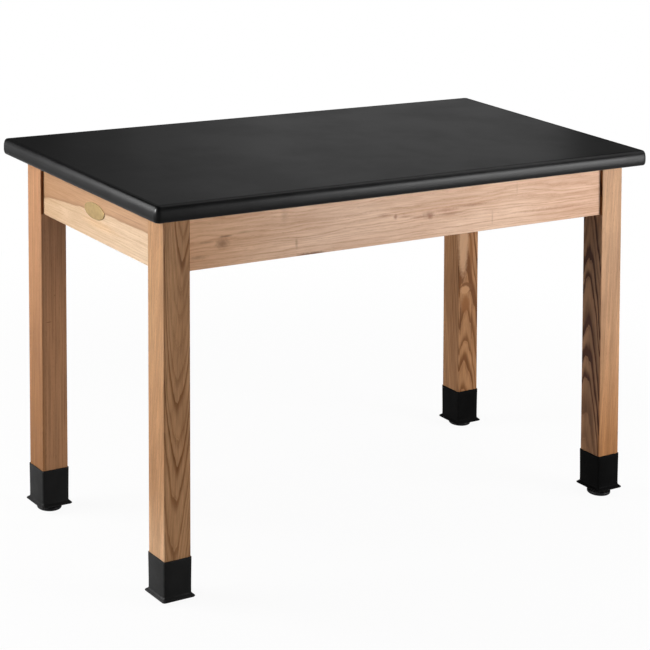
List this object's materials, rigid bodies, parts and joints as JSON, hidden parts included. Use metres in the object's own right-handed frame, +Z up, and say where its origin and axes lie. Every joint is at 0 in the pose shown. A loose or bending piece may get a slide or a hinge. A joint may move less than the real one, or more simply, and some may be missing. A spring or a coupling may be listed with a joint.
{
  "type": "science lab table",
  "caption": "Rectangular laboratory work table with a black round-edged top on square ash legs and deep rails, with rubber boots and screw levelling glides.",
  "frame": {"origin": "on the floor, under the middle of the tabletop", "axes": "+X along the table's length, to the right as seen from the front; +Y across it, from the front rail to the rear rail; +Z up"},
  "size_m": [1.2192, 0.6096, 0.762],
  "materials": {
    "black_laminate": "satin black laminate",
    "black_moulding": "satin black vinyl",
    "board": "raw particle board",
    "brown_backer": "dull brown backing sheet",
    "leg_ash": "clear-lacquered ash, satin",
    "rail_ash": "clear-lacquered ash, satin",
    "zinc_plate": "bright zinc plate",
    "black_rubber": "matt black rubber",
    "black_nylon": "black nylon",
    "gilt_plate": "pale gilt, satin"
  },
  "bodies": {
    "table": {"top_laminate": "black_laminate", "top_backer": "brown_backer", "top_core": "board", "edge_moulding": "black_moulding", "front_rail": "rail_ash", "right_end_rail": "rail_ash", "rear_rail": "rail_ash", "left_end_rail": "rail_ash", "oval_plate": "gilt_plate", "top_clip_front_1": "zinc_plate", "top_clip_front_2": "zinc_plate", "top_clip_front_3": "zinc_plate", "top_clip_right_1": "zinc_plate", "top_clip_rear_1": "zinc_plate", "top_clip_rear_2": "zinc_plate", "top_clip_rear_3": "zinc_plate", "top_clip_left_1": "zinc_plate", "leg_front_left": "leg_ash", "boot_front_left": "black_rubber", "glide_insert_front_left": "zinc_plate", "corner_bracket_front_left": "zinc_plate", "hanger_bolt_front_left_lower": "zinc_plate", "hanger_bolt_front_left_upper": "zinc_plate", "bracket_nut_front_left_lower": "zinc_plate", "bracket_nut_front_left_upper": "zinc_plate", "leg_front_right": "leg_ash", "boot_front_right": "black_rubber", "glide_insert_front_right": "zinc_plate", "corner_bracket_front_right": "zinc_plate", "hanger_bolt_front_right_lower": "zinc_plate", "hanger_bolt_front_right_upper": "zinc_plate", "bracket_nut_front_right_lower": "zinc_plate", "bracket_nut_front_right_upper": "zinc_plate", "leg_rear_right": "leg_ash", "boot_rear_right": "black_rubber", "glide_insert_rear_right": "zinc_plate", "corner_bracket_rear_right": "zinc_plate", "hanger_bolt_rear_right_lower": "zinc_plate", "hanger_bolt_rear_right_upper": "zinc_plate", "bracket_nut_rear_right_lower": "zinc_plate", "bracket_nut_rear_right_upper": "zinc_plate", "leg_rear_left": "leg_ash", "boot_rear_left": "black_rubber", "glide_insert_rear_left": "zinc_plate", "corner_bracket_rear_left": "zinc_plate", "hanger_bolt_rear_left_lower": "zinc_plate", "hanger_bolt_rear_left_upper": "zinc_plate", "bracket_nut_rear_left_lower": "zinc_plate", "bracket_nut_rear_left_upper": "zinc_plate"},
    "base_front_left": {"glide_base_front_left": "black_nylon"},
    "base_front_right": {"glide_base_front_right": "black_nylon"},
    "base_rear_right": {"glide_base_rear_right": "black_nylon"},
    "base_rear_left": {"glide_base_rear_left": "black_nylon"},
    "stud_front_left": {"glide_stud_front_left": "zinc_plate"},
    "stud_front_right": {"glide_stud_front_right": "zinc_plate"},
    "stud_rear_right": {"glide_stud_rear_right": "zinc_plate"},
    "stud_rear_left": {"glide_stud_rear_left": "zinc_plate"}
  },
  "joints": [
    {"name": "glide_travel_front_left", "type": "slide", "parent": "table", "child": "base_front_left", "axis": [0, 0, -1], "range_m": [0, 0.0127]},
    {"name": "glide_travel_front_right", "type": "slide", "parent": "table", "child": "base_front_right", "axis": [0, 0, -1], "range_m": [0, 0.0127]},
    {"name": "glide_travel_rear_right", "type": "slide", "parent": "table", "child": "base_rear_right", "axis": [0, 0, -1], "range_m": [0, 0.0127]},
    {"name": "glide_travel_rear_left", "type": "slide", "parent": "table", "child": "base_rear_left", "axis": [0, 0, -1], "range_m": [0, 0.0127]},
    {"name": "glide_screw_front_left", "type": "hinge", "parent": "base_front_left", "child": "stud_front_left", "pos_m": [-0.5429, -0.2381, 0.0084], "axis": [0, 0, -1], "range_deg": [0, 3241]},
    {"name": "glide_screw_front_right", "type": "hinge", "parent": "base_front_right", "child": "stud_front_right", "pos_m": [0.5429, -0.2381, 0.0084], "axis": [0, 0, -1], "range_deg": [0, 3241]},
    {"name": "glide_screw_rear_right", "type": "hinge", "parent": "base_rear_right", "child": "stud_rear_right", "pos_m": [0.5429, 0.2381, 0.0084], "axis": [0, 0, -1], "range_deg": [0, 3241]},
    {"name": "glide_screw_rear_left", "type": "hinge", "parent": "base_rear_left", "child": "stud_rear_left", "pos_m": [-0.5429, 0.2381, 0.0084], "axis": [0, 0, -1], "range_deg": [0, 3241]}
  ],
  "couplings": [
    {"joint": "glide_screw_front_left", "follows": "glide_travel_front_left", "rad_per_m": 4452.6},
    {"joint": "glide_screw_front_right", "follows": "glide_travel_front_right", "rad_per_m": 4452.6},
    {"joint": "glide_screw_rear_right", "follows": "glide_travel_rear_right", "rad_per_m": 4452.6},
    {"joint": "glide_screw_rear_left", "follows": "glide_travel_rear_left", "rad_per_m": 4452.6}
  ]
}
